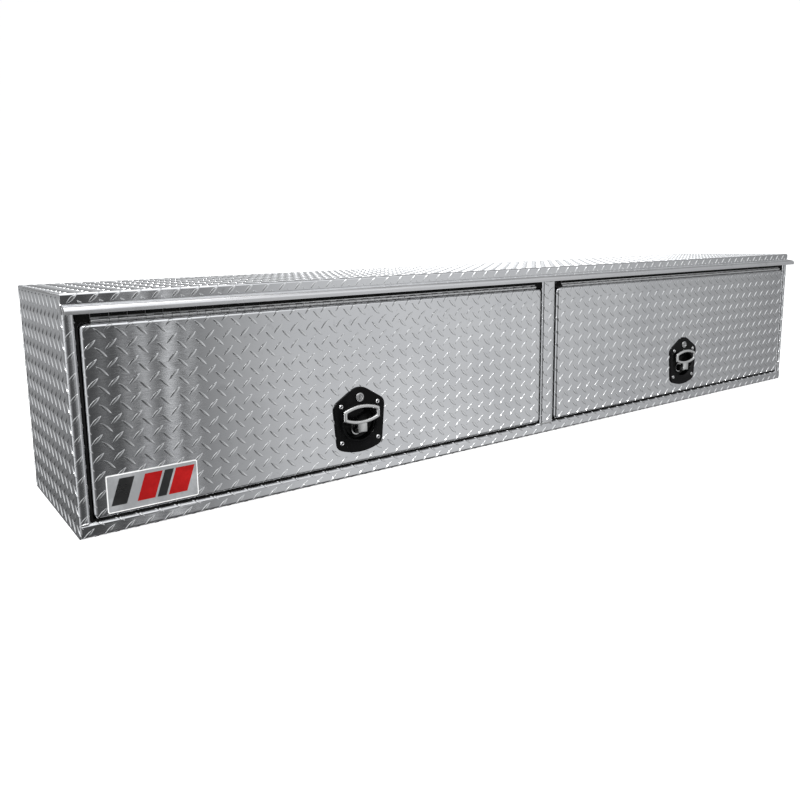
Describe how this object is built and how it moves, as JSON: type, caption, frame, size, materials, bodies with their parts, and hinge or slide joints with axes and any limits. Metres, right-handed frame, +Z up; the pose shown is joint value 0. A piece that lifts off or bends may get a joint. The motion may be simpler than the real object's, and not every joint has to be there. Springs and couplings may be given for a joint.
{
  "type": "truck tool box",
  "caption": "Long top-side truck tool box in tread plate: top-hinged drop-down doors under a drip rail, flush folding-ring latches with lock rods, gas struts.",
  "frame": {"origin": "middle of the underside of the floor, halfway along the box and halfway through the body's depth, the drip rail not counted", "axes": "+X along the box to the right as seen from the front, -Y out of the doors, +Z up"},
  "size_m": [2.235, 0.378, 0.4064],
  "materials": {
    "tread_plate": "bright rolled tread plate",
    "smooth_aluminium": "bright drawn",
    "mill_aluminium": "mill",
    "black_steel": "gloss black",
    "chrome_ring": "satin",
    "zinc_steel": "zinc plated",
    "lock_steel": "satin",
    "rubber": "matt",
    "strut_paint": "gloss black",
    "badge": "printed"
  },
  "bodies": {
    "box": {"bottom_pan": "tread_plate", "top_cover": "tread_plate", "back_panel": "tread_plate", "side_panel_left": "tread_plate", "side_panel_right": "tread_plate", "centre_post": "tread_plate", "header": "mill_aluminium", "drip_rail": "smooth_aluminium", "door_seal_left": "rubber", "door_seal_right": "rubber", "hinge_frame_leaf_left": "zinc_steel", "hinge_frame_leaf_right": "zinc_steel", "hinge_pin_left": "zinc_steel", "hinge_pin_right": "zinc_steel", "strut_frame_stud_left": "zinc_steel", "strut_frame_stud_right": "zinc_steel"},
    "door_left": {"door_skin_left": "tread_plate", "door_inner_left": "mill_aluminium", "hinge_door_leaf_left": "zinc_steel", "latch_plate_left": "black_steel", "latch_rivet_1_left": "zinc_steel", "latch_rivet_2_left": "zinc_steel", "latch_rivet_3_left": "zinc_steel", "latch_rivet_4_left": "zinc_steel", "lock_cylinder_left": "lock_steel", "strut_door_stud_left": "zinc_steel", "rod_guide_outer_left": "zinc_steel", "rod_guide_inner_left": "zinc_steel", "badge_plate": "badge"},
    "lock_plug_left": {"lock_plug_left": "lock_steel"},
    "handle_left": {"spindle_left": "black_steel", "cam_plate_left": "zinc_steel", "ring_pin_left": "zinc_steel"},
    "ring_left": {"ring_handle_left": "chrome_ring"},
    "rod_outer_left": {"rod_outer_left": "zinc_steel"},
    "rod_inner_left": {"rod_inner_left": "zinc_steel"},
    "strut_cylinder_left": {"strut_cylinder_left": "strut_paint"},
    "strut_rod_left": {"strut_rod_left": "zinc_steel"},
    "door_right": {"door_skin_right": "tread_plate", "door_inner_right": "mill_aluminium", "hinge_door_leaf_right": "zinc_steel", "latch_plate_right": "black_steel", "latch_rivet_1_right": "zinc_steel", "latch_rivet_2_right": "zinc_steel", "latch_rivet_3_right": "zinc_steel", "latch_rivet_4_right": "zinc_steel", "lock_cylinder_right": "lock_steel", "strut_door_stud_right": "zinc_steel", "rod_guide_outer_right": "zinc_steel", "rod_guide_inner_right": "zinc_steel"},
    "lock_plug_right": {"lock_plug_right": "lock_steel"},
    "handle_right": {"spindle_right": "black_steel", "cam_plate_right": "zinc_steel", "ring_pin_right": "zinc_steel"},
    "ring_right": {"ring_handle_right": "chrome_ring"},
    "rod_outer_right": {"rod_outer_right": "zinc_steel"},
    "rod_inner_right": {"rod_inner_right": "zinc_steel"},
    "strut_cylinder_right": {"strut_cylinder_right": "strut_paint"},
    "strut_rod_right": {"strut_rod_right": "zinc_steel"}
  },
  "joints": [
    {"name": "door_hinge_left", "type": "hinge", "parent": "box", "child": "door_left", "pos_m": [-0.55975, -0.1755, 0.36], "axis": [-1, 0, 0], "range_deg": [0, 95]},
    {"name": "lock_turn_left", "type": "hinge", "parent": "door_left", "child": "lock_plug_left", "pos_m": [-0.55975, -0.178, 0.166], "axis": [0, 1, 0], "range_deg": [0, 90]},
    {"name": "handle_turn_left", "type": "hinge", "parent": "door_left", "child": "handle_left", "pos_m": [-0.55975, -0.178, 0.0985], "axis": [0, 1, 0], "range_deg": [0, 90]},
    {"name": "ring_fold_left", "type": "hinge", "parent": "handle_left", "child": "ring_left", "pos_m": [-0.55975, -0.184, 0.0985], "axis": [1, 0, 0], "range_deg": [0, 90]},
    {"name": "rod_outer_slide_left", "type": "slide", "parent": "door_left", "child": "rod_outer_left", "axis": [-1, 0, 0], "range_m": [0, 0.02125]},
    {"name": "rod_inner_slide_left", "type": "slide", "parent": "door_left", "child": "rod_inner_left", "axis": [1, 0, 0], "range_m": [0, 0.02125]},
    {"name": "strut_swing_left", "type": "hinge", "parent": "box", "child": "strut_cylinder_left", "pos_m": [-1.062, 0.122, 0.27], "axis": [1, 0, 0], "range_deg": [0, 3.2]},
    {"name": "strut_slide_left", "type": "slide", "parent": "strut_cylinder_left", "child": "strut_rod_left", "axis": [0, -0.9779, 0.2093], "range_m": [0, 0.0775]},
    {"name": "door_hinge_right", "type": "hinge", "parent": "box", "child": "door_right", "pos_m": [0.55975, -0.1755, 0.36], "axis": [-1, 0, 0], "range_deg": [0, 95]},
    {"name": "lock_turn_right", "type": "hinge", "parent": "door_right", "child": "lock_plug_right", "pos_m": [0.55975, -0.178, 0.166], "axis": [0, 1, 0], "range_deg": [0, 90]},
    {"name": "handle_turn_right", "type": "hinge", "parent": "door_right", "child": "handle_right", "pos_m": [0.55975, -0.178, 0.0985], "axis": [0, 1, 0], "range_deg": [0, 90]},
    {"name": "ring_fold_right", "type": "hinge", "parent": "handle_right", "child": "ring_right", "pos_m": [0.55975, -0.184, 0.0985], "axis": [1, 0, 0], "range_deg": [0, 90]},
    {"name": "rod_outer_slide_right", "type": "slide", "parent": "door_right", "child": "rod_outer_right", "axis": [1, 0, 0], "range_m": [0, 0.02125]},
    {"name": "rod_inner_slide_right", "type": "slide", "parent": "door_right", "child": "rod_inner_right", "axis": [-1, 0, 0], "range_m": [0, 0.02125]},
    {"name": "strut_swing_right", "type": "hinge", "parent": "box", "child": "strut_cylinder_right", "pos_m": [1.062, 0.122, 0.27], "axis": [1, 0, 0], "range_deg": [0, 3.2]},
    {"name": "strut_slide_right", "type": "slide", "parent": "strut_cylinder_right", "child": "strut_rod_right", "axis": [0, -0.9779, 0.2093], "range_m": [0, 0.0775]}
  ],
  "couplings": [
    {"joint": "rod_outer_slide_left", "follows": "handle_turn_left", "m_per_rad": 0.013505},
    {"joint": "rod_inner_slide_left", "follows": "handle_turn_left", "m_per_rad": 0.013505},
    {"joint": "strut_swing_left", "follows": "door_hinge_left", "ratio": 0.033286},
    {"joint": "strut_slide_left", "follows": "door_hinge_left", "m_per_rad": 0.046552},
    {"joint": "rod_outer_slide_right", "follows": "handle_turn_right", "m_per_rad": 0.013505},
    {"joint": "rod_inner_slide_right", "follows": "handle_turn_right", "m_per_rad": 0.013505},
    {"joint": "strut_swing_right", "follows": "door_hinge_right", "ratio": 0.033286},
    {"joint": "strut_slide_right", "follows": "door_hinge_right", "m_per_rad": 0.046552}
  ]
}
